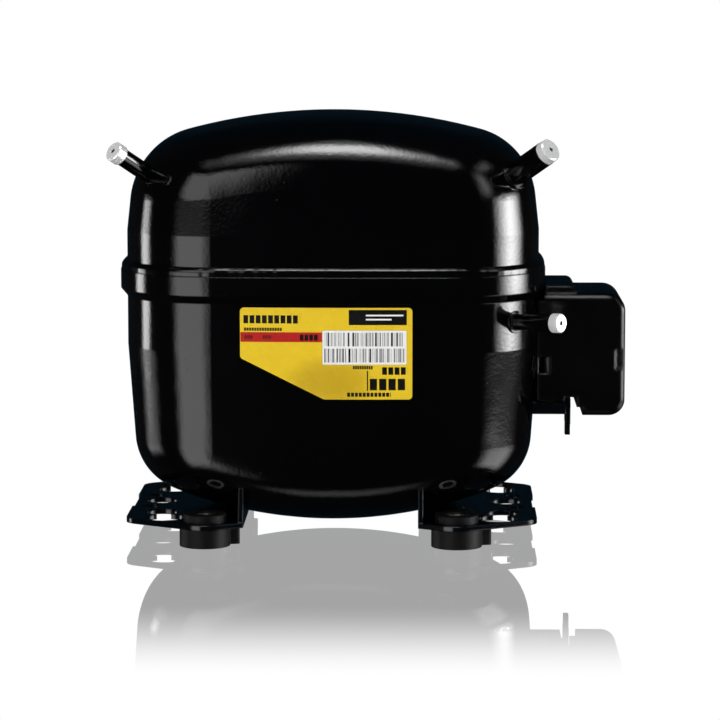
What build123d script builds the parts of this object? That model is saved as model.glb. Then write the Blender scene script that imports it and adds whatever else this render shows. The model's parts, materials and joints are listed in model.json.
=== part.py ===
from build123d import *
from math import cos, radians, sin
import os

os.makedirs("parts", exist_ok=True)

# Hermetic reciprocating compressor, millimetres.
# Origin: centre of the four rubber feet, at the floor. +X: towards the terminal cover. +Y: back. +Z: up.

# ---- Driving dimensions: pressed steel shell ----
half_length = 103.3  # wall to centre, along X
half_depth = 70.0  # wall to centre, along Y
end_arc_r = 514.0  # bulge of the two short walls in plan
side_arc_r = 845.0  # bulge of the two long walls in plan
corner_r = 48.0
sheet = 3.0
crown_top = 211.5
crown_r = 285.0
crown_edge_r = 37.0
belly_low = 5.8
belly_r = 217.0
belly_edge_r = 30.0
draft_low = 95.8  # the wall is upright from here up to draft_high and leans in beyond both
draft_high = 152.8
belly_draft = 0.071  # lean of the lower wall, mm per mm
crown_draft = 0.11
joggle_low = 120.0  # the lower wall steps out here to take the upper skirt
joggle_rise = 4.0
rim_grow = 3.3
rim_gap = 0.5  # between the rim and the skirt inside it
rim_top = 133.4
skirt_low = 125.8
bead_top = 137.9

# ---- Driving dimensions: feet ----
feet_pitch = 124.0
plate_low = 9.2
plate_t = 2.5
plate_inner = 43.0
plate_outer = 102.0
ear_r = 13.0
grommet_r = 12.5
grommet_top_r = 10.75
grommet_neck_r = 7.95
grommet_high = 15.8
sleeve_r = 5.0
sleeve_bore_r = 3.25

# ---- Driving dimensions: tube connectors ----
upper_port = (84.5, -40.0, 177.2)  # where the upper connectors leave the shell
upper_direction = (0.635, -0.59, 0.50)
suction_reach = 31.2
process_reach = 30.0
suction_r = 6.0
suction_bore_r = 5.1
process_r = 4.3
process_bore_r = 3.1
discharge_port = (87.8, -50.0, 109.6)
discharge_direction = (0.781, -0.624, 0.05)
discharge_reach = 28.5
discharge_r = 4.1
discharge_bore_r = 3.1
inner_line_r = 2.5  # discharge line inside the shell

# ---- Driving dimensions: terminal cover ----
cover_end = 146.0
cover_half_width = 31.0
cover_low = 60.3
cover_high = 121.6
cover_wall = 2.0
cover_gap = 0.3  # between the cover and the shell
terminal_z = 91.8
terminal_r = 12.0
pin_circle_r = 5.5
pin_r = 1.15

# ---- Driving dimensions: motor ----
shaft_x = -14.0
shaft_r = 8.0
stator_half = 56.0
stator_low = 57.8
stator_high = 107.8
stator_bore_r = 31.3
rotor_r = 30.9
slot_count = 24
slot_inner_r = 34.0
slot_outer_r = 45.0
slot_width = 5.0
bar_count = 28
bolt_offset = 46.0  # stator bolts and suspension springs, from the shaft axis

# ---- Driving dimensions: pump ----
throw = 9.5  # half the 19 mm stroke
bore_r = 16.0
bore_z = 159.8
deck_low = 125.8
deck_high = 135.8
face_x = 45.8  # cylinder block face under the valve plate
flange_low = 127.8
flange_high = 189.8
flange_half = 28.0
crown_gap = 0.4  # piston crown to block face at top dead centre
running = 0.05  # radial running clearance
seat = 0.02  # gap left between faces that rest on each other

foot_spots = [(x * feet_pitch / 2, y * feet_pitch / 2) for x in (-1, 1) for y in (-1, 1)]
bolt_spots = [(shaft_x + x * bolt_offset, y * bolt_offset) for x in (-1, 1) for y in (-1, 1)]
pin_angles = (90, 210, 330)
CUT = Mode.SUBTRACT


# ---- Shared outlines and tools ----
def plan(grow=0.0):
    """Plan outline of the shell at wall height, grown outward: four shallow arcs with rounded corners."""
    with BuildSketch() as outline:
        with Locations((0, side_arc_r - half_depth)):
            Circle(side_arc_r + grow)
        with Locations((0, half_depth - side_arc_r)):
            Circle(side_arc_r + grow, mode=Mode.INTERSECT)
        for side in (-1, 1):
            centre_x = side * (half_length - end_arc_r)
            with Locations(Location((centre_x, 0, 0), (0, 0, 90))):
                Circle(end_arc_r + grow, mode=Mode.INTERSECT)
        fillet(outline.vertices(), corner_r + grow)
    return outline.sketch


def between(low, low_grow, high, high_grow):
    """Two plan outlines, one above the other, ready to loft into a sloping wall."""
    sections = []
    for z, grow in ((low, low_grow), (high, high_grow)):
        with BuildSketch(Plane.XY.offset(z)) as section:
            add(plan(grow))
        sections.append(section.sketch)
    return sections


def upper_envelope(grow=0.0):
    """Everything inside the upper shell's outer face, grown outward: wall, crown and rolled edge."""
    with BuildPart() as solid:
        with BuildSketch(Plane.XY.offset(skirt_low - 10)):
            add(plan(grow))
        extrude(amount=draft_high - skirt_low + 10)
        over = crown_top + 10
        loft(between(draft_high, grow, over, grow - crown_draft * (over - draft_high)), ruled=True)
        with Locations((0, 0, crown_top - crown_r)):
            Sphere(crown_r + grow, mode=Mode.INTERSECT)
        rolled = solid.edges().filter_by(lambda e: e.bounding_box().min.Z > draft_high + 5)
        fillet(rolled, crown_edge_r + grow)
    return solid.part


def lower_envelope(grow=0.0):
    """Everything inside the lower shell's outer face up to the joggle, grown outward."""
    with BuildPart() as solid:
        with BuildSketch(Plane.XY.offset(draft_low)):
            add(plan(grow))
        extrude(amount=joggle_low - draft_low)
        loft(between(0, grow - belly_draft * draft_low, draft_low, grow), ruled=True)
        with Locations((0, 0, belly_low + belly_r)):
            Sphere(belly_r + grow, mode=Mode.INTERSECT)
        rolled = solid.edges().filter_by(lambda e: e.bounding_box().max.Z < draft_low / 2)
        fillet(rolled, belly_edge_r + grow)
    return solid.part


def bar(plane, radius, length, bore=0.0, mode=Mode.ADD):
    """Round bar, or a ring when bore is given, from a plane along its normal."""
    with BuildSketch(plane) as section:
        Circle(radius)
        if bore:
            Circle(bore, mode=CUT)
    extrude(section.sketch, amount=length, mode=mode)


def block(x, y, z, mode=Mode.ADD):
    """Box given by its (low, high) extent on each axis."""
    with BuildSketch(Plane.XY.offset(z[0])) as section:
        with Locations(((x[0] + x[1]) / 2, (y[0] + y[1]) / 2)):
            Rectangle(x[1] - x[0], y[1] - y[0])
    extrude(section.sketch, amount=z[1] - z[0], mode=mode)


def upright(x, y, z):
    """Plane facing up at a point."""
    return Plane((x, y, z))


def lengthwise(x, y, z):
    """Plane facing +X at a point, with its own x along Y and its own y along Z."""
    return Plane((x, y, z), x_dir=(0, 1, 0), z_dir=(1, 0, 0))


def crosswise(x, y, z):
    """Plane facing +Y at a point, with its own y along Z."""
    return Plane((x, y, z), x_dir=(-1, 0, 0), z_dir=(0, 1, 0))


suction_plane = Plane(upper_port, z_dir=upper_direction)
process_plane = Plane(
    (-upper_port[0], upper_port[1], upper_port[2]),
    z_dir=(-upper_direction[0], upper_direction[1], upper_direction[2]),
)
discharge_plane = Plane(discharge_port, z_dir=discharge_direction)
tube_inside = 9.0  # how far each connector reaches inside the shell

upper_outside = upper_envelope(seat)
lower_outside = lower_envelope(seat)
lower_inside = lower_envelope(-sheet - seat)
upper_inside = upper_envelope(-sheet - seat)

# ---- Shell: upper half, lower half and the weld between them ----
with BuildPart() as upper_shell:
    add(upper_envelope())
    add(upper_envelope(-sheet), mode=CUT)
    split(bisect_by=Plane.XY.offset(skirt_low), keep=Keep.TOP)
    for plane, radius in ((suction_plane, suction_r), (process_plane, process_r)):
        bar(plane.offset(-2 * tube_inside), radius + running, 4 * tube_inside, mode=CUT)

upper_shell.part.label = "upper_shell"
export_step(upper_shell.part, "parts/upper_shell.step")

inner_joggle_low = joggle_low + 1.5
with BuildPart() as lower_shell:
    add(lower_envelope())
    loft(between(joggle_low, 0, joggle_low + joggle_rise, rim_grow), ruled=True)
    with BuildSketch(Plane.XY.offset(joggle_low + joggle_rise)):
        add(plan(rim_grow))
    extrude(amount=rim_top - joggle_low - joggle_rise)
    add(lower_envelope(-sheet), mode=CUT)
    with BuildSketch(Plane.XY.offset(joggle_low)):
        add(plan(-sheet))
    extrude(amount=inner_joggle_low - joggle_low, mode=CUT)
    inner_step = between(inner_joggle_low, -sheet, inner_joggle_low + joggle_rise, rim_gap)
    loft(inner_step, ruled=True, mode=CUT)
    with BuildSketch(Plane.XY.offset(inner_joggle_low + joggle_rise)):
        add(plan(rim_gap))
    extrude(amount=rim_top - inner_joggle_low - joggle_rise, mode=CUT)
    bar(discharge_plane.offset(-2 * tube_inside), discharge_r + running, 4 * tube_inside, mode=CUT)
    bar(lengthwise(half_length - 10, 0, terminal_z), terminal_r + running, 20, mode=CUT)

lower_shell.part.label = "lower_shell"
export_step(lower_shell.part, "parts/lower_shell.step")

with BuildPart() as seam_weld:
    with BuildSketch(Plane.XY.offset(rim_top + seat)):
        add(plan(rim_grow - 0.4))
        add(plan(seat), mode=CUT)
    extrude(amount=bead_top - rim_top - seat)
    crest = seam_weld.faces().sort_by(Axis.Z)[-1].outer_wire().edges()
    fillet(crest, 2.5)

seam_weld.part.label = "seam_weld"
export_step(seam_weld.part, "parts/seam_weld.step")

# ---- Base plates ----
ear_x = feet_pitch / 2
corner_x = plate_outer - 10
corner_y = 47.5
notch_half = 17.0
web_high = 41.8
plate_holes = [
    (82.55, 50.8, 9.5),
    (85.0, 35.0, 8.0),
    (91.7, 16.5, 4.25),
    (ear_x, ear_x, 8.0),
]
with BuildPart() as base_plate_right:
    with BuildSketch(Plane.XY.offset(plate_low)) as plate:
        with Locations((ear_x, -ear_x), (ear_x, ear_x)):
            Circle(ear_r)
        with Locations((corner_x, -corner_y), (corner_x, corner_y)):
            Circle(10)
        with Locations(((plate_inner + ear_x) / 2, 0)):
            Rectangle(ear_x - plate_inner, 2 * (ear_x + 4))
        make_hull()
        with Locations((plate_outer, 0)):
            Rectangle(2.4, 2 * notch_half, mode=CUT)
        for x, y, radius in plate_holes:
            with Locations((x, y), (x, -y)):
                Circle(radius, mode=CUT)
        with Locations((88, 0)):
            Circle(8, mode=CUT)
    extrude(amount=plate_t)
    with BuildSketch(Plane.YZ.offset(plate_inner)) as web:
        with BuildLine():
            Polyline(
                (-ear_x - 4, plate_low),
                (ear_x + 4, plate_low),
                (ear_x + 4, plate_low + 4),
                (ear_x - 6, web_high),
                (-ear_x + 6, web_high),
                (-ear_x - 4, plate_low + 4),
                close=True,
            )
        make_face()
    extrude(amount=plate_t)
    add(lower_outside, mode=CUT)

base_plate_right.part.label = "base_plate_right"
export_step(base_plate_right.part, "parts/base_plate_right.step")

with BuildPart() as base_plate_left:
    mirror(base_plate_right.part, about=Plane.YZ)

base_plate_left.part.label = "base_plate_left"
export_step(base_plate_left.part, "parts/base_plate_left.step")

# ---- Rubber grommets, each with a mould lug, and their steel sleeves ----
lug_angle = 15
lug_reach = 17.0
lug_width = 8.0
grommet_upper_low = plate_low + plate_t + seat
with BuildPart() as rubber_grommets:
    for x, y in foot_spots:
        bar(upright(x, y, 0), grommet_r, plate_low - seat)
        bar(upright(x, y, plate_low - seat), grommet_neck_r, plate_t + 2 * seat)
        bar(upright(x, y, grommet_upper_low), grommet_top_r, grommet_high - grommet_upper_low)
        with BuildSketch(Plane((x, y, 0.5)).rotated((0, 0, lug_angle))) as lug:
            with Locations((lug_reach / 2, 0)):
                RectangleRounded(lug_reach, lug_width, 1.5)
        extrude(lug.sketch, amount=plate_low - 1)
        bar(upright(x, y, 0), sleeve_r + running, grommet_high, mode=CUT)

rubber_grommets.part.label = "rubber_grommets"
export_step(rubber_grommets.part, "parts/rubber_grommets.step")

with BuildPart() as grommet_sleeves:
    for x, y in foot_spots:
        bar(upright(x, y, 0), sleeve_r, grommet_high - 0.8, bore=sleeve_bore_r)

grommet_sleeves.part.label = "grommet_sleeves"
export_step(grommet_sleeves.part, "parts/grommet_sleeves.step")


# ---- Tube connectors and their soft aluminium seals ----
def connector(plane, radius, bore, reach, shell, collar):
    """Tube through the shell, with a collar that follows the shell and stands out from it by collar."""
    with BuildPart() as tube:
        bar(plane.offset(-tube_inside), radius + 1.5, tube_inside + collar)
        add(shell, mode=CUT)
        bar(plane.offset(-tube_inside), radius, tube_inside + reach)
        bar(plane.offset(-tube_inside), bore, tube_inside + reach, mode=CUT)
    return tube.part.solids().sort_by(SortBy.VOLUME)[-1]


def seal_cap(plane, radius, skirt_r, reach, thick, skirt):
    """Round seal on a connector's end with a centre dimple, and a skirt over the tube if it has one."""
    with BuildPart() as cap:
        bar(plane.offset(reach + seat), radius, thick)
        if skirt:
            bar(plane.offset(reach - skirt), radius, skirt + seat, bore=skirt_r)
        tip = cap.faces().sort_by(Axis(plane.origin, plane.z_dir))[-1]
        chamfer(tip.edges(), 0.6)
        bar(plane.offset(reach + 0.8), 1.15, thick, mode=CUT)
    return cap.part


with BuildPart() as suction_connector:
    add(connector(suction_plane, suction_r, suction_bore_r, suction_reach, upper_outside, 9))

suction_connector.part.label = "suction_connector"
export_step(suction_connector.part, "parts/suction_connector.step")

with BuildPart() as process_connector:
    add(connector(process_plane, process_r, process_bore_r, process_reach, upper_outside, 7))

process_connector.part.label = "process_connector"
export_step(process_connector.part, "parts/process_connector.step")

with BuildPart() as discharge_connector:
    add(connector(discharge_plane, discharge_r, inner_line_r + 0.1, discharge_reach, lower_outside, 4))
    bar(discharge_plane.offset(-2), discharge_bore_r, discharge_reach + 2, mode=CUT)

discharge_connector.part.label = "discharge_connector"
export_step(discharge_connector.part, "parts/discharge_connector.step")

with BuildPart() as suction_cap:
    add(seal_cap(suction_plane, 5.8, 0, suction_reach, 4.5, 0))

suction_cap.part.label = "suction_cap"
export_step(suction_cap.part, "parts/suction_cap.step")

with BuildPart() as process_cap:
    add(seal_cap(process_plane, 5.0, process_r + 0.1, process_reach, 3.6, 1.5))

process_cap.part.label = "process_cap"
export_step(process_cap.part, "parts/process_cap.step")

with BuildPart() as discharge_cap:
    add(seal_cap(discharge_plane, 4.75, discharge_r + 0.1, discharge_reach, 3.0, 1.5))

discharge_cap.part.label = "discharge_cap"
export_step(discharge_cap.part, "parts/discharge_cap.step")

# ---- Hermetic terminal: steel cup, glass beads, pins ----
pin_spots = [(pin_circle_r * cos(radians(a)), pin_circle_r * sin(radians(a))) for a in pin_angles]
bead_r = 2.6
cup_x = half_length - 4.0
cup_deep = 5.0
with BuildPart() as terminal_body:
    bar(lengthwise(cup_x, 0, terminal_z), terminal_r, cup_deep)
    bar(lengthwise(cup_x + 2, 0, terminal_z), terminal_r - 2, cup_deep, mode=CUT)
    for y, z in pin_spots:
        bar(lengthwise(cup_x - 1, y, terminal_z + z), bead_r + seat, 6, mode=CUT)

terminal_body.part.label = "terminal_body"
export_step(terminal_body.part, "parts/terminal_body.step")

with BuildPart() as terminal_glass:
    for y, z in pin_spots:
        bar(lengthwise(cup_x, y, terminal_z + z), bead_r, 3, bore=pin_r + seat)

terminal_glass.part.label = "terminal_glass"
export_step(terminal_glass.part, "parts/terminal_glass.step")

pin_inner = 90.0
pin_outer = 118.0
with BuildPart() as terminal_pins:
    for y, z in pin_spots:
        bar(lengthwise(pin_inner, y, terminal_z + z), pin_r, pin_outer - pin_inner)

terminal_pins.part.label = "terminal_pins"
export_step(terminal_pins.part, "parts/terminal_pins.step")

with BuildPart() as lead_plug:
    block((84, 98), (-11, 11), (terminal_z - 11, terminal_z + 10))
    fillet(lead_plug.edges().filter_by(Axis.X), 3)
    for y, z in pin_spots:
        bar(lengthwise(pin_inner - 1, y, terminal_z + z), pin_r + seat, 20, mode=CUT)

lead_plug.part.label = "lead_plug"
export_step(lead_plug.part, "parts/lead_plug.step")

# ---- Parts under the terminal cover ----
with BuildPart() as start_relay:
    block((107.5, 126), (-16, 16), (terminal_z - 16, terminal_z + 16))
    fillet(start_relay.edges().filter_by(Axis.X), 3)
    for y, z in pin_spots:
        bar(lengthwise(100, y, terminal_z + z), pin_r + seat, 20, mode=CUT)

start_relay.part.label = "start_relay"
export_step(start_relay.part, "parts/start_relay.step")

with BuildPart() as overload_protector:
    bar(lengthwise(126 + seat, 0, terminal_z), 13, 12)
    rim = overload_protector.faces().sort_by(Axis.X)[-1].edges()
    fillet(rim, 2)

overload_protector.part.label = "overload_protector"
export_step(overload_protector.part, "parts/overload_protector.step")

clamp_low = 72.1
clamp_high = 75.5
with BuildPart() as cord_clamp:
    block((110, 124), (-12, 12), (clamp_low, clamp_high))
    with Locations((117, -8, clamp_high), (117, 8, clamp_high)):
        CounterBoreHole(1.6, 3, 1.5)

cord_clamp.part.label = "cord_clamp"
export_step(cord_clamp.part, "parts/cord_clamp.step")

bracket_low = 60.8
bracket_high = 66.8
bracket_end = 116.8
tab_x = 117.4
tab_t = 2.6
with BuildPart() as terminal_bracket:
    block((98, bracket_end), (-28, 28), (bracket_low, bracket_low + 1.5))
    for side in (-1, 1):
        near = sorted((side * 26.5, side * 28))
        block((98, bracket_end), near, (bracket_low, bracket_high))
    add(lower_outside, mode=CUT)
    block((bracket_end - 1, tab_x + tab_t), (-7, 7), (bracket_low, bracket_low + 5))
    block((tab_x, tab_x + tab_t), (-7, 7), (bracket_low - 8, bracket_low + 1))
    block((tab_x, tab_x + tab_t), (-3.5, 3.5), (bracket_low - 14, bracket_low - 7))
    with Locations((108, 0, bracket_low + 1.5)):
        Hole(2.1, 4)

terminal_bracket.part.label = "terminal_bracket"
export_step(terminal_bracket.part, "parts/terminal_bracket.step")

with BuildPart() as earth_screw:
    bar(upright(108, 0, bracket_low - 3.5), 2.0, 5)
    bar(upright(108, 0, bracket_low + 1.5 + seat), 3.8, 2.6)
    bar(upright(108, 0, bracket_low + 1), 2.0, 1)
    with BuildSketch(Plane.XY.offset(bracket_low + 3.3)):
        with Locations((108, 0)):
            Rectangle(6, 1)
            Rectangle(1, 6)
    extrude(amount=2, mode=CUT)

earth_screw.part.label = "earth_screw"
export_step(earth_screw.part, "parts/earth_screw.step")

# ---- Terminal cover: an open-backed box that pulls off along +X ----
cover_step = 67.8  # underside beside the shell; the underside further out is at cover_low
cover_edge = 102.0
hood_end = 122.0  # raised hood over the relay, next to the shell
hood_half = 28.0
hood_high = 125.2
hood_long = 32.0
hood_deep = 14.0


def cover_profile(inset=0.0):
    """Side profile of the cover, drawn on the XZ plane."""
    with BuildSketch(Plane.XZ) as profile:
        with BuildLine():
            Polyline(
                (cover_edge, cover_step),
                (116, cover_step),
                (116, cover_step + 2),
                (122, cover_step + 2),
                (122, cover_step - 3),
                (125, cover_step - 3),
                (125, cover_low),
                (cover_end, cover_low),
                (cover_end, cover_high),
                (cover_edge, cover_high),
                close=True,
            )
        make_face()
        for end, radius in ((0, 8), (-1, 9)):
            far = profile.vertices().filter_by(lambda v: v.X > cover_end - 0.1)
            fillet(far.sort_by(Axis.Y)[end], radius)
        if inset:
            offset(amount=-inset)
    return profile.sketch


with BuildPart() as terminal_cover:
    with BuildSketch(Plane.XZ.offset(-cover_half_width)) as side_face:
        add(cover_profile())
    extrude(amount=2 * cover_half_width)
    outer_edges = terminal_cover.edges().group_by(Axis.Y)
    rounded = (outer_edges[0] + outer_edges[-1]).filter_by(lambda e: e.bounding_box().max.X > cover_end - 12)
    fillet(rounded, 4)
    with BuildSketch(Plane.XZ.offset(-hood_half)):
        with Locations((hood_end - hood_long / 2, hood_high - hood_deep / 2)):
            RectangleRounded(hood_long, hood_deep, 4)
    extrude(amount=2 * hood_half)
    with BuildSketch(Plane.XZ.offset(-cover_half_width + cover_wall)):
        add(cover_profile(cover_wall))
        with Locations((cover_edge + 2, (cover_step + cover_high) / 2)):
            Rectangle(8, cover_high - cover_step - 2 * cover_wall)
    extrude(amount=2 * (cover_half_width - cover_wall), mode=CUT)
    hood_room = (-hood_half + cover_wall, hood_half - cover_wall)
    block((cover_edge - 3, hood_end - cover_wall), hood_room, (cover_high - 4, hood_high - cover_wall), CUT)
    for side in (-1, 1):
        skin = sorted((side * (cover_half_width - 1.4), side * (cover_half_width + 1)))
        block((cover_end - 5, cover_end + 1), skin, (83.8, 93.8), CUT)
    block((103, 108), (-cover_half_width - 1, -cover_half_width + 3), (81.8, 89.8), CUT)
    add(lower_envelope(cover_gap), mode=CUT)
    with BuildSketch(Plane.XY.offset(joggle_low - 2)):
        add(plan(rim_grow + cover_gap))
    extrude(amount=rim_top - joggle_low, mode=CUT)

terminal_cover.part.label = "terminal_cover"
export_step(terminal_cover.part, "parts/terminal_cover.step")

# ---- Rating label on the front wall ----
label_left = -43.8
label_right = 40.1
label_low = 73.4
label_high = 118.5
with BuildPart() as rating_label:
    with BuildSketch(Plane.XZ) as label:
        with BuildLine():
            Polyline(
                (label_left, label_low + 20.4),
                (label_left + 40.8, label_low),
                (label_right, label_low),
                (label_right, label_high),
                (label_left, label_high),
                close=True,
            )
        make_face()
        fillet(label.vertices(), 2)
    extrude(amount=half_depth * 2)
    add(lower_envelope(0.3), mode=Mode.INTERSECT)
    add(lower_outside, mode=CUT)

rating_label.part.label = "rating_label"
export_step(rating_label.part, "parts/rating_label.step")

# ---- Suspension: pegs on the belly, coil springs, cups under the stator ----
peg_high = 36.8
cup_flange_low = stator_low - 2.0
peg_boss_r = 6.6
wire_r = 0.9
coil_r = 8.0
with BuildPart() as spring_pegs:
    for x, y in bolt_spots:
        bar(upright(x, y, 0), 10, peg_high - 2)
        bar(upright(x, y, peg_high - 2), peg_boss_r, 8)
    add(lower_inside, mode=Mode.INTERSECT)

spring_pegs.part.label = "spring_pegs"
export_step(spring_pegs.part, "parts/spring_pegs.step")

coil_low = peg_high - 2 + wire_r + seat
coil_high = cup_flange_low - wire_r - seat
with BuildPart() as coil:
    with BuildLine() as coil_path:
        Helix(pitch=(coil_high - coil_low) / 5, height=coil_high - coil_low, radius=coil_r)
    with BuildSketch(Plane(coil_path.line @ 0, z_dir=coil_path.line % 0)):
        Circle(wire_r)
    sweep(is_frenet=True)

with BuildPart() as suspension_springs:
    with Locations(*[(x, y, coil_low) for x, y in bolt_spots]):
        add(coil.part)

suspension_springs.part.label = "suspension_springs"
export_step(suspension_springs.part, "parts/suspension_springs.step")

with BuildPart() as spring_cups:
    for x, y in bolt_spots:
        bar(upright(x, y, cup_flange_low), 10, 2 - seat, bore=2.6)
        bar(upright(x, y, cup_flange_low - 8), peg_boss_r, 8 + seat, bore=5.0)

spring_cups.part.label = "spring_cups"
export_step(spring_cups.part, "parts/spring_cups.step")

with BuildPart() as lid_stop:
    bar(upright(-60, 0, 172.8), 8, 60)
    add(upper_inside, mode=Mode.INTERSECT)

lid_stop.part.label = "lid_stop"
export_step(lid_stop.part, "parts/lid_stop.step")

# ---- Motor ----
with BuildPart() as stator_core:
    with BuildSketch(Plane.XY.offset(stator_low)):
        with Locations((shaft_x, 0)):
            RectangleRounded(2 * stator_half, 2 * stator_half, 12)
            Circle(stator_bore_r, mode=CUT)
            with PolarLocations((slot_inner_r + slot_outer_r) / 2, slot_count):
                RectangleRounded(slot_outer_r - slot_inner_r, slot_width, 1.2, mode=CUT)
            with PolarLocations((stator_bore_r + slot_inner_r) / 2, slot_count):
                Rectangle(slot_inner_r - stator_bore_r + 2, 2.2, mode=CUT)
        with Locations(*bolt_spots):
            Circle(2.6, mode=CUT)
    extrude(amount=stator_high - stator_low)

stator_core.part.label = "stator_core"
export_step(stator_core.part, "parts/stator_core.step")

coil_head = 15.5
coil_head_outer_r = 48.0
with BuildPart() as stator_windings:
    for low in (stator_low - 0.5 - coil_head, stator_high + 0.5):
        bar(upright(shaft_x, 0, low), coil_head_outer_r, coil_head, bore=slot_inner_r)
    crests = stator_windings.edges().filter_by(GeomType.CIRCLE).group_by(Axis.Z)
    fillet(crests[0] + crests[-1], 4)
    with BuildSketch(Plane.XY.offset(stator_low - 3)):
        with Locations((shaft_x, 0)):
            with PolarLocations((slot_inner_r + slot_outer_r) / 2 + 0.2, slot_count):
                RectangleRounded(slot_outer_r - slot_inner_r - 0.8, slot_width - 0.4, 1.1)
    extrude(amount=stator_high - stator_low + 6)

stator_windings.part.label = "stator_windings"
export_step(stator_windings.part, "parts/stator_windings.step")

with BuildPart() as stator_bolts:
    for x, y in bolt_spots:
        bar(upright(x, y, cup_flange_low - 4), 4.2, 4 - seat)
        bar(upright(x, y, cup_flange_low - 1), 2.5, deck_low - 2 - cup_flange_low)

stator_bolts.part.label = "stator_bolts"
export_step(stator_bolts.part, "parts/stator_bolts.step")

bar_circle_r = 26.0
ring_high = 6.0
with BuildPart() as rotor_core:
    with BuildSketch(Plane.XY.offset(stator_low)):
        with Locations((shaft_x, 0)):
            Circle(rotor_r)
            Circle(shaft_r + seat, mode=CUT)
            with PolarLocations(bar_circle_r, bar_count):
                Circle(2.0, mode=CUT)
    extrude(amount=stator_high - stator_low)

rotor_core.part.label = "rotor_core"
export_step(rotor_core.part, "parts/rotor_core.step")

with BuildPart() as rotor_cage:
    for low in (stator_low - ring_high, stator_high + seat):
        bar(upright(shaft_x, 0, low), rotor_r - 0.5, ring_high - seat, bore=18)
    with BuildSketch(Plane.XY.offset(stator_low - 1)):
        with Locations((shaft_x, 0)):
            with PolarLocations(bar_circle_r, bar_count):
                Circle(1.94)
    extrude(amount=stator_high - stator_low + 2)

rotor_cage.part.label = "rotor_cage"
export_step(rotor_cage.part, "parts/rotor_cage.step")

with BuildPart() as rotor_counterweight:
    bar(upright(shaft_x, 0, stator_low - ring_high - 7), rotor_r - 1, 7 - seat, bore=18.5)
    block((shaft_x - 40, shaft_x + 40), (-40, 6), (0, stator_low), mode=CUT)

rotor_counterweight.part.label = "rotor_counterweight"
export_step(rotor_counterweight.part, "parts/rotor_counterweight.step")

# ---- Crankshaft: shaft, web with its counterweight, eccentric pin and a drilled oil gallery ----
shaft_low = 37.8
web_low = deck_high + 1.04
web_high_z = web_low + 6.4
pin_top = 168.8
gallery_r = 2.0
web_sweep_r = 25.0
with BuildPart() as crankshaft:
    bar(upright(shaft_x, 0, shaft_low), shaft_r, web_low - shaft_low + 1)
    with BuildSketch(Plane.XY.offset(web_low)):
        with Locations((shaft_x, 0)):
            Circle(web_sweep_r)
            with Locations((0, web_sweep_r / 2 + 1)):
                Rectangle(2 * web_sweep_r, web_sweep_r + 8, mode=CUT)
    extrude(amount=web_high_z - web_low)
    with BuildSketch(Plane.XY.offset(web_low)):
        with Locations((shaft_x, 0)):
            Circle(shaft_r + 4)
        with Locations((shaft_x, throw)):
            Circle(shaft_r + 2.5)
        make_hull()
    extrude(amount=web_high_z - web_low)
    bar(upright(shaft_x, throw, web_low + 1), shaft_r, pin_top - web_low - 1)
    bar(upright(shaft_x, throw / 2, shaft_low - 1), gallery_r, pin_top, mode=CUT)

crankshaft.part.label = "crankshaft"
export_step(crankshaft.part, "parts/crankshaft.step")

with BuildPart() as gallery_plug:
    bar(upright(shaft_x, throw / 2, pin_top - 5), gallery_r - 0.04, 4.5)

gallery_plug.part.label = "gallery_plug"
export_step(gallery_plug.part, "parts/gallery_plug.step")

pickup_low = 15.8
with BuildPart() as oil_pickup:
    with BuildSketch(Plane.XZ.move(Location((shaft_x, 0, 0)))):
        with BuildLine():
            Polyline(
                (shaft_r + seat, shaft_low + 8),
                (shaft_r + 1, shaft_low + 8),
                (shaft_r + 1, shaft_low - 3),
                (4.5, pickup_low),
                (2, pickup_low),
                (2, pickup_low + 1),
                (3.5, pickup_low + 1),
                (shaft_r + seat, shaft_low - 3),
                close=True,
            )
        make_face()
    revolve(axis=Axis((shaft_x, 0, 0), (0, 0, 1)))

oil_pickup.part.label = "oil_pickup"
export_step(oil_pickup.part, "parts/oil_pickup.step")

with BuildPart() as thrust_washer:
    bar(upright(shaft_x, 0, deck_high + seat), shaft_r + 4, 1.0, bore=shaft_r + running)

thrust_washer.part.label = "thrust_washer"
export_step(thrust_washer.part, "parts/thrust_washer.step")

# ---- Pump: block, piston with its yoke, slide block ----
cylinder_low = 12.0
gallery_y = 13.0
gallery_z = 132.8
muffler_x = -60.0
reed_y = 8.0
reed_slot = (-reed_y - 5.5, -reed_y + 5.5)
suction_root = 176.3
discharge_root = 173.8
head_bolts_at = [(y * 22.0, z) for y in (-1, 1) for z in (flange_low + 10, flange_high - 8)]
with BuildPart() as cylinder_block:
    with BuildSketch(Plane.XY.offset(deck_low)):
        with Locations((shaft_x - 1, 0)):
            RectangleRounded(118, 108, 14)
        with Locations((muffler_x, 0)):
            Circle(22)
    extrude(amount=deck_high - deck_low)
    for x, y in bolt_spots:
        bar(upright(x, y, stator_high + seat), 7.5, deck_low - stator_high)
    bar(upright(shaft_x, 0, stator_high + 8.5), 17, deck_low - stator_high - 8)
    block((cylinder_low, face_x), (-20, 20), (deck_high - 2, bore_z))
    bar(lengthwise(cylinder_low, 0, bore_z), bore_r + 7.5, face_x - cylinder_low)
    block((36, face_x), (-flange_half, flange_half), (flange_low, flange_high))
    bar(lengthwise(cylinder_low - 1, 0, bore_z), bore_r, 60, mode=CUT)
    bar(upright(shaft_x, 0, stator_high), shaft_r + running, 60, mode=CUT)
    bar(lengthwise(muffler_x, gallery_y, gallery_z), 2.25, 120, mode=CUT)
    bar(upright(muffler_x, gallery_y, gallery_z), 2.0, 10, mode=CUT)
    block((face_x - 1.2, face_x + 1), reed_slot, (suction_root - 9.5, suction_root + 1), CUT)
    for x, y in bolt_spots:
        bar(upright(x, y, stator_high - 1), 2.55, deck_low - stator_high, mode=CUT)
    for y, z in head_bolts_at:
        bar(lengthwise(34, y, z), 2.5, 20, mode=CUT)

cylinder_block.part.label = "cylinder_block"
export_step(cylinder_block.part, "parts/cylinder_block.step")

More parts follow.
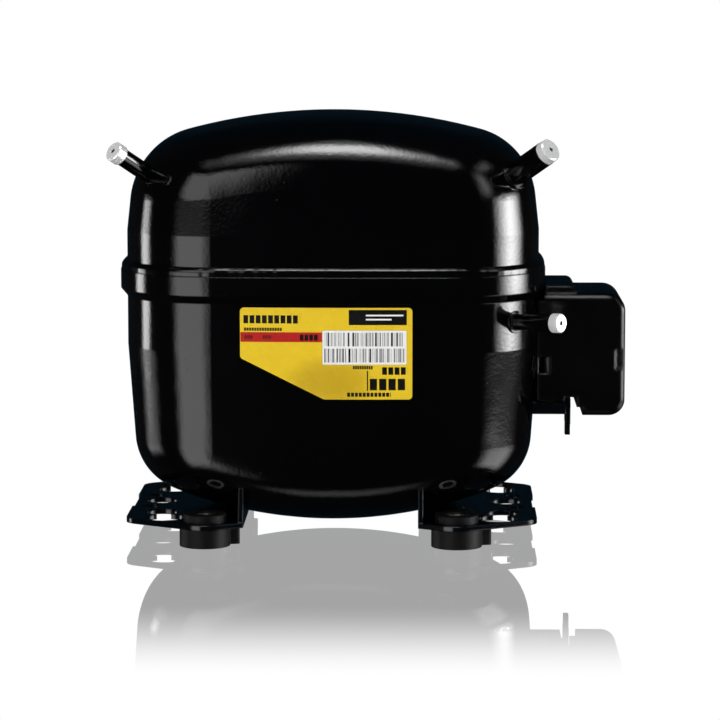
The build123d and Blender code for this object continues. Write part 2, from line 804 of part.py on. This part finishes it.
yoke_r = 15.0
yoke_bore_r = 13.0
yoke_half = 25.0
piston_r = bore_r - running
crown_x = face_x - crown_gap - throw
with BuildPart() as piston_yoke:
    bar(crosswise(shaft_x, -yoke_half, bore_z), yoke_r, 2 * yoke_half)
    bar(lengthwise(shaft_x + 12, 0, bore_z), piston_r, crown_x - shaft_x - 12)
    bar(lengthwise(shaft_x + 12, 0, bore_z), 12, crown_x - shaft_x - 12 - 5, mode=CUT)
    bar(crosswise(shaft_x, -yoke_half - 1, bore_z), yoke_bore_r, 2 * yoke_half + 2, mode=CUT)
    with BuildSketch(Plane.XY.offset(bore_z - yoke_r - 1)):
        with Locations((shaft_x, 0)):
            SlotOverall(2 * (throw + shaft_r + 1.2), 2 * (shaft_r + 1), rotation=90)
    extrude(amount=8, mode=CUT)

piston_yoke.part.label = "piston_yoke"
export_step(piston_yoke.part, "parts/piston_yoke.step")

with BuildPart() as slide_block:
    bar(crosswise(shaft_x, throw - 13, bore_z), yoke_bore_r - running, 26)
    bar(upright(shaft_x, throw, bore_z - 20), shaft_r + running, 40, mode=CUT)

slide_block.part.label = "slide_block"
export_step(slide_block.part, "parts/slide_block.step")

# ---- Valve plate stack ----
gasket_t = 0.8
valve_plate_t = 3.2
plate_x = face_x + gasket_t
head_gasket_x = plate_x + valve_plate_t
head_x = head_gasket_x + gasket_t
head_end = head_x + 17.4
reed_t = 0.4
reed_half = 5.0
reed_low = 153.3  # centre of each reed's round tip
stack_height = flange_high - flange_low
stack_mid = (flange_high + flange_low) / 2


def stack_plate(x):
    """Outline of the stack on a plane facing +X, with its four bolt holes."""
    with BuildSketch(lengthwise(x, 0, 0)) as outline:
        with Locations((0, stack_mid)):
            RectangleRounded(2 * flange_half, stack_height, 3)
        with Locations(*head_bolts_at):
            Circle(2.6, mode=CUT)
    return outline.sketch


def plenum(side):
    """Window of the suction (-1) or discharge (+1) side of the head, on a plane facing +X."""
    low = gallery_z - 2.5 if side > 0 else 141.8
    high = 178.8
    with BuildSketch(lengthwise(0, 0, 0)) as window:
        with Locations((side * 9.5, (low + high) / 2)):
            RectangleRounded(15, high - low, 2)
    return window.sketch


with BuildPart() as cylinder_gasket:
    extrude(stack_plate(face_x + seat), amount=gasket_t - 2 * seat)
    bar(lengthwise(face_x - 1, 0, bore_z), bore_r + 1, 3, mode=CUT)
    bar(lengthwise(face_x - 1, gallery_y, gallery_z), 2.5, 3, mode=CUT)
    block((face_x - 1, plate_x + 1), reed_slot, (bore_z + 2, suction_root + 0.5), CUT)

cylinder_gasket.part.label = "cylinder_gasket"
export_step(cylinder_gasket.part, "parts/cylinder_gasket.step")

port_z = reed_low + 0.5
with BuildPart() as valve_plate:
    extrude(stack_plate(plate_x), amount=valve_plate_t)
    bar(lengthwise(plate_x - 1, -reed_y, port_z), 4.0, 6, mode=CUT)
    bar(lengthwise(plate_x - 1, reed_y, port_z), 3.0, 6, mode=CUT)
    bar(lengthwise(plate_x - 1, gallery_y, gallery_z), 2.5, 6, mode=CUT)

valve_plate.part.label = "valve_plate"
export_step(valve_plate.part, "parts/valve_plate.step")

with BuildPart() as head_gasket:
    extrude(stack_plate(head_gasket_x + seat), amount=gasket_t - 2 * seat)
    for side in (-1, 1):
        extrude(plenum(side), amount=head_x, mode=CUT)

head_gasket.part.label = "head_gasket"
export_step(head_gasket.part, "parts/head_gasket.step")

neck_y = -9.5
neck_z = 161.8
with BuildPart() as cylinder_head:
    extrude(stack_plate(head_x), amount=head_end - head_x)
    for side in (-1, 1):
        extrude(plenum(side), amount=head_end - 3.4, mode=CUT)
    bar(lengthwise(head_end - 5, neck_y, neck_z), 4.05, 10, mode=CUT)

cylinder_head.part.label = "cylinder_head"
export_step(cylinder_head.part, "parts/cylinder_head.step")

with BuildPart() as head_bolts:
    for y, z in head_bolts_at:
        bar(lengthwise(37, y, z), 2.45, head_end - 37 + 1)
        with BuildSketch(lengthwise(head_end + seat, y, z)) as hexagon:
            RegularPolygon(4.5, 6)
        extrude(hexagon.sketch, amount=3.5)

head_bolts.part.label = "head_bolts"
export_step(head_bolts.part, "parts/head_bolts.step")


def reed(x, y, root):
    """Spring-steel flap lying on a plane facing +X: square root at the top, round tip below."""
    with BuildPart() as flap:
        with BuildSketch(lengthwise(x, y, 0)):
            with Locations((0, (root + reed_low) / 2)):
                Rectangle(2 * reed_half, root - reed_low)
            with Locations((0, reed_low)):
                Circle(reed_half)
        extrude(amount=reed_t)
    return flap.part


with BuildPart() as suction_reed:
    add(reed(plate_x - seat - reed_t, -reed_y, suction_root))

suction_reed.part.label = "suction_reed"
export_step(suction_reed.part, "parts/suction_reed.step")

with BuildPart() as discharge_reed:
    add(reed(head_gasket_x + seat, reed_y, discharge_root))

discharge_reed.part.label = "discharge_reed"
export_step(discharge_reed.part, "parts/discharge_reed.step")

with BuildPart() as valve_stop:
    block((head_gasket_x + seat, head_gasket_x + 4), (4, 12), (discharge_root + 0.5, discharge_root + 4))
    block((head_gasket_x + 2.6, head_gasket_x + 4), (4, 12), (reed_low - 4, discharge_root + 4))

valve_stop.part.label = "valve_stop"
export_step(valve_stop.part, "parts/valve_stop.step")

# ---- Mufflers and the inner discharge line ----
muffler_near = 73.0
muffler_far = 91.0
muffler_low = 113.8
muffler_high = 166.8
muffler_wall = 2.0
with BuildPart() as suction_muffler:
    block((muffler_near, muffler_far), (-26, 22), (muffler_low, muffler_high))
    fillet(suction_muffler.edges().filter_by(Axis.X), 6)
    with BuildSketch(lengthwise(muffler_near + muffler_wall, -2, (muffler_low + muffler_high) / 2)):
        RectangleRounded(44, muffler_high - muffler_low - 2 * muffler_wall, 4)
    extrude(amount=30, mode=CUT)
    bar(lengthwise(head_end - 3, neck_y, neck_z), 4.0, muffler_near - head_end + 4)
    bar(lengthwise(head_end - 4, neck_y, neck_z), 2.8, 20, mode=CUT)
    bar(crosswise(82, -30, 151.8), 5, 6, mode=CUT)

suction_muffler.part.label = "suction_muffler"
export_step(suction_muffler.part, "parts/suction_muffler.step")

with BuildPart() as suction_muffler_cover:
    with BuildSketch(lengthwise(muffler_far + seat, -2, (muffler_low + muffler_high) / 2)):
        RectangleRounded(48, muffler_high - muffler_low, 6)
    extrude(amount=1.6)

suction_muffler_cover.part.label = "suction_muffler_cover"
export_step(suction_muffler_cover.part, "parts/suction_muffler_cover.step")

can_r = 17.0
can_high = 167.8
line_z = 153.8
with BuildPart() as discharge_muffler:
    bar(upright(muffler_x, 0, deck_high + seat), can_r, can_high - deck_high)
    fillet(discharge_muffler.faces().sort_by(Axis.Z)[-1].edges(), 4)
    bar(upright(muffler_x, 0, deck_high - 1), can_r - 1.5, can_high - deck_high - 1, mode=CUT)
    bar(crosswise(muffler_x, -can_r - 2, line_z), inner_line_r + running, 8, mode=CUT)

discharge_muffler.part.label = "discharge_muffler"
export_step(discharge_muffler.part, "parts/discharge_muffler.step")

line_start = (muffler_x, 1.0 - can_r, line_z)
line_end = discharge_plane.offset(0.8 - tube_inside).origin
with BuildPart() as discharge_line:
    with BuildLine() as line_path:
        Spline(
            line_start,
            (muffler_x + 2, -34, line_z),
            (-40, -56, line_z - 3),
            (10, -60, line_z - 9),
            (52, -57, line_z - 22),
            (line_end.X - 9, line_end.Y + 7, line_end.Z + 2),
            line_end,
            tangents=[(0, -1, 0), discharge_direction],
        )
    with BuildSketch(Plane(line_path.line @ 0, z_dir=line_path.line % 0)):
        Circle(inner_line_r)
    sweep()

discharge_line.part.label = "discharge_line"
export_step(discharge_line.part, "parts/discharge_line.step")

lead_r = 1.2
with BuildPart() as motor_leads:
    for y, z in pin_spots:
        with BuildLine() as lead_path:
            Spline(
                (84 - seat, y, terminal_z + z),
                (66, y, terminal_z - 12 + z / 2),
                (52, y * 0.8, terminal_z - 36 + z / 3),
                (shaft_x + coil_head_outer_r + 0.8, y * 0.7, terminal_z - 43 + z / 3),
                tangents=[(-1, 0, 0), (-1, 0, 0)],
            )
        with BuildSketch(Plane(lead_path.line @ 0, z_dir=lead_path.line % 0)) as wire:
            Circle(lead_r)
        sweep(wire.sketch, path=lead_path.line)

motor_leads.part.label = "motor_leads"
export_step(motor_leads.part, "parts/motor_leads.step")
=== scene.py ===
import json
from math import pi, radians

import bpy
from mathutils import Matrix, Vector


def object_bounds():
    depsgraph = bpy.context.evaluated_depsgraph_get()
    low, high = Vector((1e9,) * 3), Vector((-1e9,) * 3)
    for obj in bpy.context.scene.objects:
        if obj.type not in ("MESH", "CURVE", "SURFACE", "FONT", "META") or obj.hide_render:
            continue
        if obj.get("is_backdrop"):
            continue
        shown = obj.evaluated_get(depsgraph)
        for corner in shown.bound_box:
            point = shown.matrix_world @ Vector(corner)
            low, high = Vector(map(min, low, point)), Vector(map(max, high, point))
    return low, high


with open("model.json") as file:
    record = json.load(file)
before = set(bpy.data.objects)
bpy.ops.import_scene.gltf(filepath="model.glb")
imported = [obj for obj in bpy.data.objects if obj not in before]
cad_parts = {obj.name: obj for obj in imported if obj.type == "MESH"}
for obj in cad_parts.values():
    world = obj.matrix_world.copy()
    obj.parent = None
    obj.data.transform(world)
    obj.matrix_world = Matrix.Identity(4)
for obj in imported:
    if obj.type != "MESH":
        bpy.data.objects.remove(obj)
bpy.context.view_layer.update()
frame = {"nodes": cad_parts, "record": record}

nodes = frame["nodes"]


# ---- Material helpers ----
class Graph:
    """A node tree under construction, with one short call per node."""

    def __init__(self, tree):
        self.tree = tree
        tree.nodes.clear()

    def add(self, kind, inputs=None, **settings):
        node = self.tree.nodes.new(kind)
        for name, value in settings.items():
            setattr(node, name, value)
        for name, value in (inputs or {}).items():
            self.feed(node.inputs[name], value)
        return node

    def feed(self, socket, value):
        if isinstance(value, bpy.types.NodeSocket):
            self.tree.links.new(value, socket)
        else:
            socket.default_value = value

    def math(self, operation, first, second=0.0, third=0.0):
        inputs = {0: first, 1: second, 2: third}
        node = self.add("ShaderNodeMath", inputs, operation=operation)
        return node.outputs[0]

    def position(self):
        return self.add("ShaderNodeTexCoord").outputs["Object"]

    def noise(self, scale, detail=2.0, stretch=None):
        """Noise value in 0..1 over the object's own coordinates, in features per metre."""
        vector = self.position()
        if stretch:
            mapping = self.add("ShaderNodeMapping", {"Vector": vector, "Scale": stretch})
            vector = mapping.outputs[0]
        node = self.add("ShaderNodeTexNoise", {"Vector": vector, "Scale": scale, "Detail": detail})
        return node.outputs["Fac"]

    def between(self, value, low, high):
        """Maps a 0..1 value onto low..high."""
        inputs = {"Value": value, "To Min": low, "To Max": high}
        return self.add("ShaderNodeMapRange", inputs).outputs[0]

    def step(self, value, low, high):
        """Smooth 0..1 step as value goes from low to high."""
        inputs = {"Value": value, "From Min": low, "From Max": high}
        node = self.add("ShaderNodeMapRange", inputs, interpolation_type="SMOOTHSTEP")
        return node.outputs[0]

    def mix(self, factor, first, second):
        node = self.add("ShaderNodeMix", data_type="RGBA")
        self.feed(node.inputs[0], factor)
        self.feed(node.inputs[6], first)
        self.feed(node.inputs[7], second)
        return node.outputs[2]

    def band(self, value, low, high, soft):
        """1 where value lies between low and high, with soft edges, else 0."""
        rise = self.step(value, low - soft, low + soft)
        fall = self.step(value, high + soft, high - soft)
        return self.math("MULTIPLY", rise, fall)

    def scaled(self, value, factor):
        return self.math("MULTIPLY", value, factor)

    def total(self, values):
        result = values[0]
        for value in values[1:]:
            result = self.math("ADD", result, value)
        return result

    def rounded(self, radius):
        """Surface normal with every edge rounded over."""
        return self.add("ShaderNodeBevel", {"Radius": radius}, samples=4).outputs[0]

    def bump(self, height, depth, normal=None):
        inputs = {"Height": height, "Distance": depth, "Strength": 1.0}
        if normal:
            inputs["Normal"] = normal
        return self.add("ShaderNodeBump", inputs).outputs[0]

    def surface(self, **inputs):
        """Principled surface: keyword names use underscores for the spaces in the socket names."""
        shader = self.add("ShaderNodeBsdfPrincipled")
        for name, value in inputs.items():
            self.feed(shader.inputs[name.replace("_", " ")], value)
        output = self.add("ShaderNodeOutputMaterial")
        self.tree.links.new(shader.outputs[0], output.inputs["Surface"])
        return shader


def new_material(name):
    material = bpy.data.materials.new(name)
    material.use_nodes = True
    return material, Graph(material.node_tree)


def rgb(red, green, blue):
    return (red, green, blue, 1.0)


# ---- Materials ----
def enamel(name, tint, edge=0.0008, waviness=1.0):
    """Thick gloss black enamel with orange peel, faint drawing waves and a few dust specks."""
    material, graph = new_material(name)
    peel = graph.noise(620, 2.0)
    waves = graph.noise(45, 1.0)
    relief = graph.math("ADD", graph.scaled(peel, 0.20), waves)
    specks = graph.step(graph.noise(700, 0.0), 0.86, 0.90)
    normal = graph.bump(relief, 0.00017 * waviness, graph.rounded(edge))
    normal = graph.bump(specks, 0.00004, normal)
    haze = graph.between(graph.noise(26, 3.0), 0.05, 0.12)
    graph.surface(Base_Color=rgb(*tint), Roughness=haze, Normal=normal)
    return material


def weld_enamel(tint):
    """The same enamel over the overlapping ripples of a machine-laid weld bead."""
    material, graph = new_material("weld_enamel")
    ripples = graph.noise(150, 1.0, (1, 1, 0.3))
    normal = graph.bump(ripples, 0.0006, graph.rounded(0.0008))
    graph.surface(Base_Color=rgb(*tint), Roughness=0.10, Normal=normal)
    return material


def moulded(name, colour, roughness=0.5, grain=1700, depth=0.00003, edge=0.0006, shine=0.5):
    """Moulded plastic with a fine spark-eroded grain and slightly uneven gloss."""
    material, graph = new_material(name)
    uneven = graph.noise(40, 3.0)
    tone = graph.mix(uneven, rgb(*[c * 0.82 for c in colour]), rgb(*[min(1, c * 1.18) for c in colour]))
    rough = graph.between(uneven, roughness - 0.07, roughness + 0.07)
    normal = graph.bump(graph.noise(grain, 2.0), depth, graph.rounded(edge))
    graph.surface(Base_Color=tone, Roughness=rough, Specular_IOR_Level=shine, Normal=normal)
    return material


def rubber():
    """Dull moulded rubber with bloom on its surface."""
    material, graph = new_material("grommet_rubber")
    bloom = graph.noise(130, 5.0)
    tone = graph.mix(bloom, rgb(0.0005, 0.0005, 0.0005), rgb(0.003, 0.003, 0.003))
    normal = graph.bump(graph.noise(1400, 3.0), 0.00006, graph.rounded(0.0007))
    rough = graph.between(bloom, 0.45, 0.6)
    graph.surface(Base_Color=tone, Roughness=rough, Specular_IOR_Level=0.16, Normal=normal)
    return material


def metal(name, colour, roughness=0.3, grain=(1, 1, 1), scale=700, depth=0.00002, tarnish=0.25):
    """Bare metal with a directional grain and patchy tarnish."""
    material, graph = new_material(name)
    lines = graph.noise(scale, 3.0, grain)
    patches = graph.noise(55, 4.0)
    dark = [c * (1 - tarnish) for c in colour]
    tone = graph.mix(patches, rgb(*dark), rgb(*colour))
    rough = graph.math(
        "ADD", graph.between(lines, -0.06, 0.06), graph.between(patches, roughness, roughness + 0.12),
    )
    normal = graph.bump(lines, depth, graph.rounded(0.0002))
    graph.surface(Base_Color=tone, Metallic=1.0, Roughness=rough, Normal=normal)
    return material


def cap_aluminium():
    """Bright spun aluminium, with painted shade darkening the dimple and the inside of the skirt."""
    material, graph = new_material("seal_aluminium")
    lines = graph.noise(1500, 3.0)
    # Painted shade: ambient occlusion turns the colour near black in the dimple and under the skirt.
    dimple_shade = graph.add("ShaderNodeAmbientOcclusion", {"Distance": 0.0022}, samples=8).outputs["AO"]
    tone = graph.mix(graph.step(dimple_shade, 0.45, 0.85), rgb(0.02, 0.02, 0.02), rgb(0.97, 0.975, 0.98))
    normal = graph.bump(lines, 0.00001, graph.rounded(0.0003))
    rough = graph.between(graph.noise(55, 4.0), 0.16, 0.30)
    graph.surface(Base_Color=tone, Metallic=0.42, Roughness=rough, Normal=normal)
    return material


def iron():
    """Sand-cast grey iron."""
    material, graph = new_material("cast_grey_iron")
    sand = graph.noise(900, 6.0)
    tone = graph.mix(graph.noise(70, 4.0), rgb(0.09, 0.09, 0.095), rgb(0.22, 0.22, 0.225))
    rough = graph.between(sand, 0.45, 0.7)
    graph.surface(Base_Color=tone, Metallic=0.7, Roughness=rough, Normal=graph.bump(sand, 0.00018))
    return material


def laminations():
    """Stacked electrical steel: dark hairlines between half-millimetre sheets."""
    material, graph = new_material("stacked_laminations")
    wave = graph.add(
        "ShaderNodeTexWave",
        {"Vector": graph.position(), "Scale": 100.0 * pi, "Distortion": 0.1},
        bands_direction="Z",
    )
    edge = graph.step(wave.outputs["Fac"], 0.1, 0.45)
    tone = graph.mix(edge, rgb(0.05, 0.05, 0.055), rgb(0.34, 0.35, 0.37))
    graph.surface(Base_Color=tone, Metallic=0.9, Roughness=0.42, Normal=graph.bump(edge, 0.00008))
    return material


def winding():
    """Enamelled copper wire laid in loose rounds."""
    material, graph = new_material("wound_copper")
    wave = graph.add(
        "ShaderNodeTexWave",
        {"Vector": graph.position(), "Scale": 330.0, "Distortion": 5.0, "Detail": 2.0, "Detail Scale": 0.3},
        bands_direction="Z",
    )
    strand = wave.outputs["Fac"]
    tone = graph.mix(strand, rgb(0.16, 0.045, 0.015), rgb(0.80, 0.33, 0.12))
    graph.surface(
        Base_Color=tone, Metallic=0.75, Roughness=0.33, Coat_Weight=0.5, Normal=graph.bump(strand, 0.0004),
    )
    return material


def bead_glass():
    material, graph = new_material("sintered_glass")
    cloud = graph.noise(600, 3.0)
    tone = graph.mix(cloud, rgb(0.02, 0.07, 0.06), rgb(0.06, 0.15, 0.13))
    graph.surface(Base_Color=tone, Roughness=0.12, Coat_Weight=1.0, Normal=graph.bump(cloud, 0.00003))
    return material


def gasket_fibre():
    material, graph = new_material("gasket_fibre")
    fibre = graph.noise(1200, 5.0, (1, 0.25, 1))
    tone = graph.mix(fibre, rgb(0.16, 0.18, 0.17), rgb(0.36, 0.38, 0.35))
    graph.surface(Base_Color=tone, Roughness=0.85, Normal=graph.bump(fibre, 0.00008))
    return material


LABEL_YELLOW = rgb(0.88, 0.60, 0.006)
LABEL_GOLD = rgb(0.60, 0.38, 0.002)
LABEL_RED = rgb(0.50, 0.006, 0.004)
LABEL_DARK_RED = rgb(0.13, 0.004, 0.002)
LABEL_INK = rgb(0.004, 0.004, 0.004)
LABEL_WHITE = rgb(0.93, 0.93, 0.92)
LABEL_LIFT = 1.8  # mm from the part's floor up to the label drawing's own zero
PRINT_SOFTNESS = 0.1  # mm over which a printed edge fades


def label_film():
    """Printed rating film. Every box is x low, x high, z low, z high in millimetres on the front wall."""
    material, graph = new_material("label_film")
    place = graph.add("ShaderNodeSeparateXYZ", {"Vector": graph.position()})
    across = graph.scaled(place.outputs["X"], 1000.0)
    height = graph.math("SUBTRACT", graph.scaled(place.outputs["Z"], 1000.0), LABEL_LIFT)

    def box(left, right, low, high):
        width = graph.band(across, left, right, PRINT_SOFTNESS)
        return graph.math("MULTIPLY", width, graph.band(height, low, high, PRINT_SOFTNESS))

    def blocks(left, right, low, high, pitch):
        """A line of plain blocks standing in for print."""
        phase = graph.math("FRACT", graph.scaled(graph.math("SUBTRACT", across, left), 1.0 / pitch))
        return graph.math("MULTIPLY", box(left, right, low, high), graph.step(phase, 0.82, 0.74))

    def bars(left, right, low, high, seed):
        """A row of upright bars of uneven width."""
        parts = []
        for offset, scale, share in ((seed, 0.9, 0.45), (-seed, 2.6, 0.55)):
            inputs = {"W": graph.math("ADD", across, offset), "Scale": scale}
            noise = graph.add("ShaderNodeTexNoise", inputs, noise_dimensions="1D")
            parts.append(graph.scaled(noise.outputs["Fac"], share))
        mixed = graph.total(parts)
        return graph.math("MULTIPLY", box(left, right, low, high), graph.step(mixed, 0.50, 0.46))

    # Painted shade: the yellow darkens to gold over the lower middle of the film, leaving its edges
    # lighter.
    label_shade_x = graph.scaled(across, 1 / 26.0)
    label_shade_z = graph.scaled(graph.math("SUBTRACT", height, 80.0), 1 / 15.0)
    label_shade = graph.math("ADD", graph.math("MULTIPLY", label_shade_x, label_shade_x), graph.math("MULTIPLY", label_shade_z, label_shade_z))
    tone = graph.mix(graph.scaled(graph.step(label_shade, 1.0, 0.0), 0.85), LABEL_YELLOW, LABEL_GOLD)
    printed = (
        (box(-43.6, -3.4, 99.9, 104.7), LABEL_RED),
        (blocks(-41.6, -37.4, 101.4, 103.2, 1.4), LABEL_DARK_RED),
        (blocks(-32.7, -28.4, 101.4, 103.2, 1.4), LABEL_DARK_RED),
        (blocks(-14.6, -5.5, 100.7, 103.6, 2.3), LABEL_INK),
        (blocks(-42.1, -14.9, 109.0, 113.0, 3.02), LABEL_INK),
        (blocks(-41.8, -23.4, 105.3, 106.9, 1.25), LABEL_INK),
        (box(9.2, 37.4, 108.3, 115.7), LABEL_INK),
        (box(17.5, 35.7, 112.6, 113.4), LABEL_WHITE),
        (box(17.5, 30.0, 110.6, 111.4), LABEL_WHITE),
        (box(-3.8, 37.5, 88.7, 105.8), LABEL_GOLD),
        (box(-3.6, 37.3, 88.9, 105.6), LABEL_WHITE),
        (bars(-2.7, 36.4, 97.9, 104.6, 7.0), LABEL_INK),
        (bars(-2.7, 36.4, 90.0, 96.8, 91.0), LABEL_INK),
        (blocks(11.2, 20.8, 86.6, 88.3, 1.1), LABEL_INK),
        (blocks(25.4, 37.6, 83.9, 87.6, 3.05), LABEL_INK),
        (box(18.0, 18.6, 76.0, 85.9), LABEL_INK),
        (blocks(19.4, 37.6, 76.2, 81.9, 4.55), LABEL_INK),
        (blocks(8.35, 29.6, 73.0, 75.0, 1.9), LABEL_INK),
    )
    for mask, ink in printed:
        tone = graph.mix(mask, tone, ink)
    normal = graph.bump(graph.noise(60, 1.0), 0.00010)
    graph.surface(Base_Color=tone, Roughness=graph.between(graph.noise(90, 3.0), 0.22, 0.34), Normal=normal)
    return material


black_tint = (0.0006, 0.0007, 0.0011)
plate_tint = (0.0010, 0.0020, 0.0034)
finish = {
    "black_enamel": enamel("shell_enamel", black_tint),
    "plate_enamel": enamel("plate_enamel", plate_tint, 0.0009, 0.6),
    "weld_enamel": weld_enamel(black_tint),
    "label_film": label_film(),
    "rubber": rubber(),
    "zinc_steel": metal("zinc_plated_steel", (0.62, 0.62, 0.58), 0.3),
    "seal_aluminium": cap_aluminium(),
    "cover_plastic": moulded("cover_plastic", (0.0005, 0.0005, 0.0007), 0.22, 1500, 0.00002, 0.0022, 0.3),
    "glass": bead_glass(),
    "dark_plastic": moulded("dark_plastic", (0.03, 0.03, 0.033), 0.45),
    "white_plastic": moulded("white_plastic", (0.70, 0.68, 0.60), 0.45),
    "cast_iron": iron(),
    "lamination": laminations(),
    "copper": winding(),
    "aluminium": metal("cast_aluminium", (0.66, 0.67, 0.68), 0.42, (1, 1, 1), 900, 0.00008),
    "spring_steel": metal("spring_steel", (0.42, 0.41, 0.40), 0.28, (1, 1, 6)),
    "ground_steel": metal("ground_steel", (0.72, 0.72, 0.73), 0.12, (1, 1, 8), 2500, 0.000004, 0.08),
    "gasket": gasket_fibre(),
    "steel_tube": metal("drawn_tube", (0.38, 0.35, 0.31), 0.35),
    "lead_wire": moulded("lead_sleeve", (0.55, 0.04, 0.03), 0.5, 2600),
}
plate_nodes = ("base_plate_left", "base_plate_right", "terminal_bracket")


def set_material(piece, material):
    piece.data.materials.clear()
    piece.data.materials.append(material)


for row in frame["record"]["subparts"]:
    kind = row["material_slot"]
    if row["node"] in plate_nodes:
        kind = "plate_enamel"
    if row["node"] == "seam_weld":
        kind = "weld_enamel"
    set_material(nodes[row["node"]], finish[kind])
for node in nodes.values():
    node.data.shade_smooth()

# ---- Stage, light and camera ----
scene = bpy.context.scene
scene.view_settings.view_transform = "Standard"


FOOTPRINT_HALF = (0.105, 0.074)  # the feet, as seen from above
MIRROR = 0.63  # share of the table's surface that acts as a mirror, near the object
TABLE_HEIGHT = -0.00002
VEIL_HEIGHT = 0.00003
FADE = (0.13, 0.28)  # distance from the feet over which the mirror image fades out


def floor_material():
    """Pure white table with a polished zone round the object. Glossy rays pass through it."""
    material, graph = new_material("studio_floor")
    place = graph.add("ShaderNodeSeparateXYZ", {"Vector": graph.position()})
    reach_x = graph.math("SUBTRACT", graph.math("ABSOLUTE", place.outputs["X"]), FOOTPRINT_HALF[0])
    reach_y = graph.math("SUBTRACT", graph.math("ABSOLUTE", place.outputs["Y"]), FOOTPRINT_HALF[1])
    polish = graph.scaled(graph.step(graph.math("MAXIMUM", reach_x, reach_y), FADE[1], FADE[0]), MIRROR)
    white = graph.add("ShaderNodeEmission", {"Color": rgb(1, 1, 1), "Strength": 1.0})
    mirror = graph.add("ShaderNodeBsdfGlossy", {"Color": rgb(1, 1, 1), "Roughness": 0.0})
    clear = graph.add("ShaderNodeBsdfTransparent")
    table = graph.add("ShaderNodeMixShader", {0: polish, 1: white.outputs[0], 2: mirror.outputs[0]})
    rays = graph.add("ShaderNodeLightPath")
    seen = graph.add(
        "ShaderNodeMixShader", {0: rays.outputs["Is Glossy Ray"], 1: table.outputs[0], 2: clear.outputs[0]},
    )
    output = graph.add("ShaderNodeOutputMaterial")
    graph.tree.links.new(seen.outputs[0], output.inputs["Surface"])
    return material


def veil_material():
    """Fully clear sheet: the studio shader uses it to tell rays that have met the table."""
    material, graph = new_material("studio_veil")
    clear = graph.add("ShaderNodeBsdfTransparent")
    output = graph.add("ShaderNodeOutputMaterial")
    graph.tree.links.new(clear.outputs[0], output.inputs["Surface"])
    return material


def stage_plane(name, height, material):
    bpy.ops.mesh.primitive_plane_add(size=60, location=(0, 0, height))
    plane = bpy.context.object
    plane.name = name
    set_material(plane, material)
    plane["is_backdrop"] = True
    return plane


stage_plane("studio_floor", TABLE_HEIGHT, floor_material())
stage_plane("studio_veil", VEIL_HEIGHT, veil_material())

# Softboxes as seen in the gloss: azimuth from the camera side towards +X, elevation, edge softness,
# all in degrees, then radiance.
softboxes = (
    ((-55, -19), (-40, 2), (6, 8), 2.4),
    ((-50, -14), (10, 46), (7, 3), 1.9),
    ((-110, -97), (-10, 4), (4, 4), 8.0),
    ((-116, -90), (-22, -12), (6, 6), 1.6),
    ((-24, 26), (65, 78), (18, 5), 11.0),
    ((-36, 34), (60, 84), (24, 9), 2.5),
    ((76, 100), (-8, 9), (14, 5), 21.0),
    ((62, 104), (-42, -16), (12, 4), 3.2),
    ((54, 66), (16, 42), (8, 9), 2.0),
    ((68, 96), (45, 52), (12, 6), 1.3),
    ((-22, 20), (-68, -58), (8, 5), 0.7),
)
AMBIENT = 0.012  # faint light from everywhere, seen in the gloss
FAR_SIDE = (0.003, 0.009, 0.014)  # blue-black room behind the object
CAMERA_AT = (0.0490, -1.5786, 0.2801)
CAMERA_DOWN = 7.067  # degrees below level
CAMERA_LEFT = 1.304  # degrees to the left of +Y
LENS = 156.28

world = bpy.data.worlds.new("studio")
scene.world = world
world.use_nodes = True
world.cycles.sampling_method = "NONE"
sky = Graph(world.node_tree)
heading = sky.add("ShaderNodeSeparateXYZ", {"Vector": sky.add("ShaderNodeTexCoord").outputs["Generated"]})
azimuth = sky.math("ARCTAN2", heading.outputs["X"], sky.scaled(heading.outputs["Y"], -1.0))
elevation = sky.math("ARCSINE", heading.outputs["Z"])
glow = [AMBIENT]
for (left, right), (low, high), (soft_across, soft_up), radiance in softboxes:
    sideways = sky.band(azimuth, radians(left), radians(right), radians(soft_across))
    upward = sky.band(elevation, radians(low), radians(high), radians(soft_up))
    glow.append(sky.scaled(sky.math("MULTIPLY", sideways, upward), radiance))
gloss = sky.total(glow)
behind = sky.step(sky.math("ABSOLUTE", azimuth), radians(135), radians(160))
gloss_tint = sky.mix(behind, gloss, rgb(*FAR_SIDE))
rays = sky.add("ShaderNodeLightPath")
# A ray has met the table if it went through the veil. Seen straight in the table, the studio is white.
met_table = sky.math("GREATER_THAN", rays.outputs["Transparent Depth"], 0.5)
first_bounce = sky.math("LESS_THAN", rays.outputs["Ray Depth"], 2.5)
rising = sky.step(elevation, 0.0, radians(0.1))
off_table = sky.math("MULTIPLY", sky.math("MULTIPLY", met_table, first_bounce), rising)
gloss_tint = sky.mix(off_table, gloss_tint, rgb(1, 1, 1))
seen = sky.mix(rays.outputs["Is Glossy Ray"], rgb(1, 1, 1), gloss_tint)
background = sky.add("ShaderNodeBackground", {"Color": seen, "Strength": 1.0})
sky_output = sky.add("ShaderNodeOutputWorld")
sky.tree.links.new(background.outputs[0], sky_output.inputs[0])

camera_data = bpy.data.cameras.new("camera")
camera_data.sensor_width = 36
camera_data.lens = LENS
camera = bpy.data.objects.new("camera", camera_data)
scene.collection.objects.link(camera)
camera.location = CAMERA_AT
camera.rotation_euler = (radians(90 - CAMERA_DOWN), 0, radians(CAMERA_LEFT))
scene.camera = camera

# ---- Sizes ----
low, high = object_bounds()
